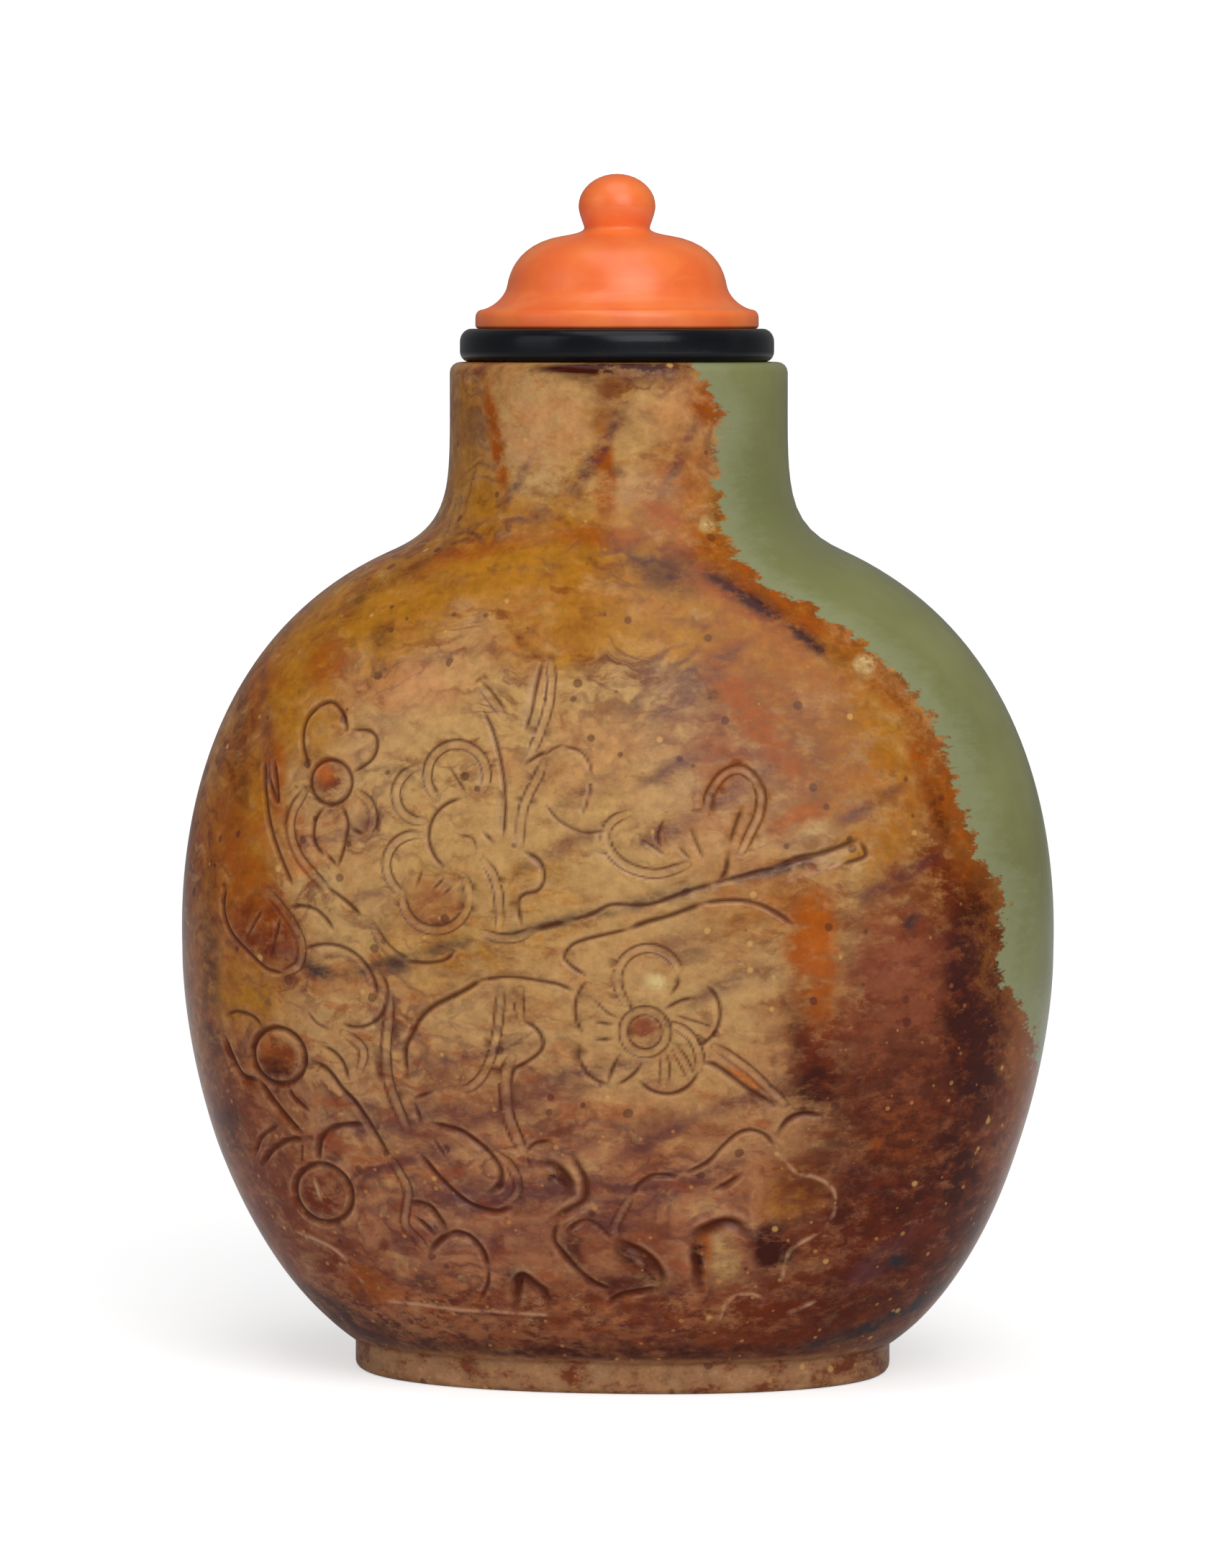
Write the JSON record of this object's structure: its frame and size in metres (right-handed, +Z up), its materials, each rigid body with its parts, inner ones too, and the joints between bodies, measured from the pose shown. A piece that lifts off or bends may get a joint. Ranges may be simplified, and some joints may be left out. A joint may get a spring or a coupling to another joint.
{
  "type": "snuff bottle",
  "caption": "Flattened hollow jade snuff bottle on a foot ring, carved with prunus over rocks, with a domed cap, collar and cork.",
  "frame": {"origin": "middle of the foot ring's underside, on the surface that the bottle stands on", "axes": "+Z up through the mouth, +X across the broad face, -Y out of the carved face"},
  "size_m": [0.0494, 0.031, 0.0675],
  "materials": {
    "jade": "soft polish, tan and russet with green at one side",
    "coral_cap": "soft polish",
    "black_collar": "high polish",
    "cork": "matte"
  },
  "bodies": {
    "root": {"bottle": "jade", "collar": "black_collar", "stopper_cap": "coral_cap", "stopper_cork": "cork"}
  },
  "joints": []
}
